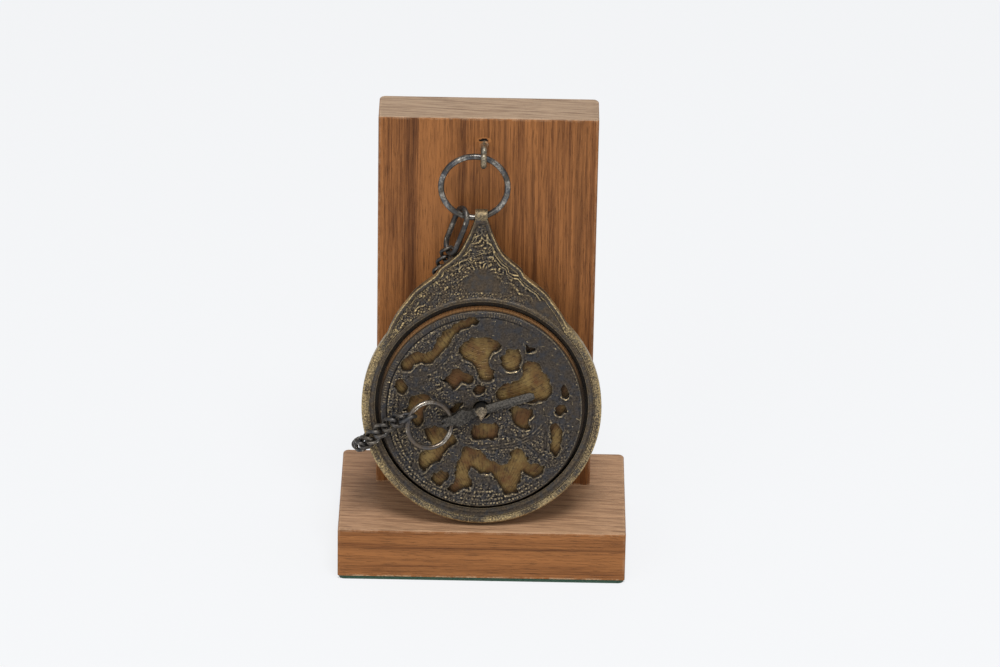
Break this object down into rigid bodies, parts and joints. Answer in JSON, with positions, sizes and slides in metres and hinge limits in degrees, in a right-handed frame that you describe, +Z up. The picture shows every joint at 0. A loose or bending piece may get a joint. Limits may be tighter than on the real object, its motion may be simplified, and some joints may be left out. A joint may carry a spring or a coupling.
{
  "type": "astrolabe",
  "caption": "Planispheric astrolabe with pierced rete, plates, alidade, pin, wedge and chain, hanging by its ring from a hook on a wooden display stand.",
  "frame": {"origin": "centre of the felt pad's underside, on the surface that the stand rests on", "axes": "+Z up, the astrolabe's face looks along -Y and leans back on its foot, +X to the viewer's right"},
  "size_m": [0.1056, 0.064, 0.1691],
  "materials": {
    "wood_base": "oiled walnut-like board with end grain at its ends",
    "wood_upright": "oiled walnut-like board, grain upright",
    "screw_steel": "plain zinc-grey steel",
    "felt": "dark green felt",
    "hook_brass": "worn brass wire",
    "ring_iron": "dark blue-grey wire with bright rubbed patches",
    "mater_brass": "dark patina with yellow metal on the rubbed edges",
    "plate_brass": "golden brass, tarnished orange at the edge",
    "rete_brass": "near-black patina with bright worn edges",
    "pin_metal": "grey metal with a brass-coloured worn edge",
    "wedge_metal": "grey filed metal",
    "small_ring_metal": "brown-grey wire with bright patches",
    "alidade_brass": "tarnished brass",
    "chain_iron": "dark blue-grey wire"
  },
  "bodies": {
    "stand": {"base_board": "wood_base", "upright_board": "wood_upright", "stand_screws": "screw_steel", "felt_pad": "felt", "cup_hook": "hook_brass"},
    "ring": {"suspension_ring": "ring_iron"},
    "astrolabe": {"mater": "mater_brass", "plate_lower": "plate_brass", "plate_upper": "plate_brass", "pin": "pin_metal"},
    "rete": {"rete": "rete_brass"},
    "alidade": {"alidade_bar": "alidade_brass", "sight_vane_upper": "alidade_brass", "sight_vane_lower": "alidade_brass", "vane_rivets": "alidade_brass"},
    "wedge": {"wedge": "wedge_metal"},
    "small_ring": {"small_ring": "small_ring_metal"},
    "front_chain": {"front_link_01": "chain_iron", "front_link_02": "chain_iron", "front_link_03": "chain_iron", "front_link_04": "chain_iron", "front_link_05": "chain_iron", "front_link_06": "chain_iron", "front_link_07": "chain_iron"},
    "back_chain": {"long_link": "chain_iron", "back_link_01": "chain_iron", "back_link_02": "chain_iron", "back_link_03": "chain_iron", "back_link_04": "chain_iron", "back_link_05": "chain_iron", "back_link_06": "chain_iron", "back_link_07": "chain_iron", "back_link_08": "chain_iron", "back_link_09": "chain_iron", "back_link_10": "chain_iron", "back_link_11": "chain_iron", "back_link_12": "chain_iron", "back_link_13": "chain_iron", "back_link_14": "chain_iron", "back_link_15": "chain_iron", "back_link_16": "chain_iron", "back_link_17": "chain_iron", "back_link_18": "chain_iron", "back_link_19": "chain_iron", "back_link_20": "chain_iron", "back_link_21": "chain_iron"}
  },
  "joints": [
    {"name": "lift_off_hook", "type": "slide", "parent": "stand", "child": "ring", "axis": [0, -0.4067, 0.9135], "range_m": [0, 0.06]},
    {"name": "astrolabe_swing", "type": "hinge", "parent": "ring", "child": "astrolabe", "pos_m": [-0.0021, -0.0005, 0.13358], "axis": [-1, 0, 0], "range_deg": [0, 75]},
    {"name": "chain_swing", "type": "hinge", "parent": "ring", "child": "back_chain", "pos_m": [-0.0021, -0.0005, 0.13358], "axis": [-1, 0, 0], "range_deg": [0, 75]},
    {"name": "rete_turn", "type": "hinge", "parent": "astrolabe", "child": "rete", "pos_m": [-0.0009, -0.01822, 0.06467], "axis": [0, -0.9769, 0.2135], "continuous": true},
    {"name": "alidade_turn", "type": "hinge", "parent": "astrolabe", "child": "alidade", "pos_m": [-0.0009, -0.01822, 0.06467], "axis": [0, -0.9769, 0.2135], "continuous": true},
    {"name": "wedge_pull", "type": "slide", "parent": "astrolabe", "child": "wedge", "axis": [-0.9563, -0.0624, -0.2856], "range_m": [0, 0.022]},
    {"name": "small_ring_lift", "type": "hinge", "parent": "wedge", "child": "small_ring", "pos_m": [-0.0119, -0.02319, 0.06232], "axis": [-0.1942, 0.2095, 0.9583], "range_deg": [0, 70]},
    {"name": "front_chain_lift", "type": "hinge", "parent": "small_ring", "child": "front_chain", "pos_m": [-0.02696, -0.02793, 0.06522], "axis": [0.3575, 0.383, 0.8518], "range_deg": [0, 45]}
  ],
  "couplings": [
    {"joint": "chain_swing", "follows": "astrolabe_swing", "ratio": 1}
  ]
}
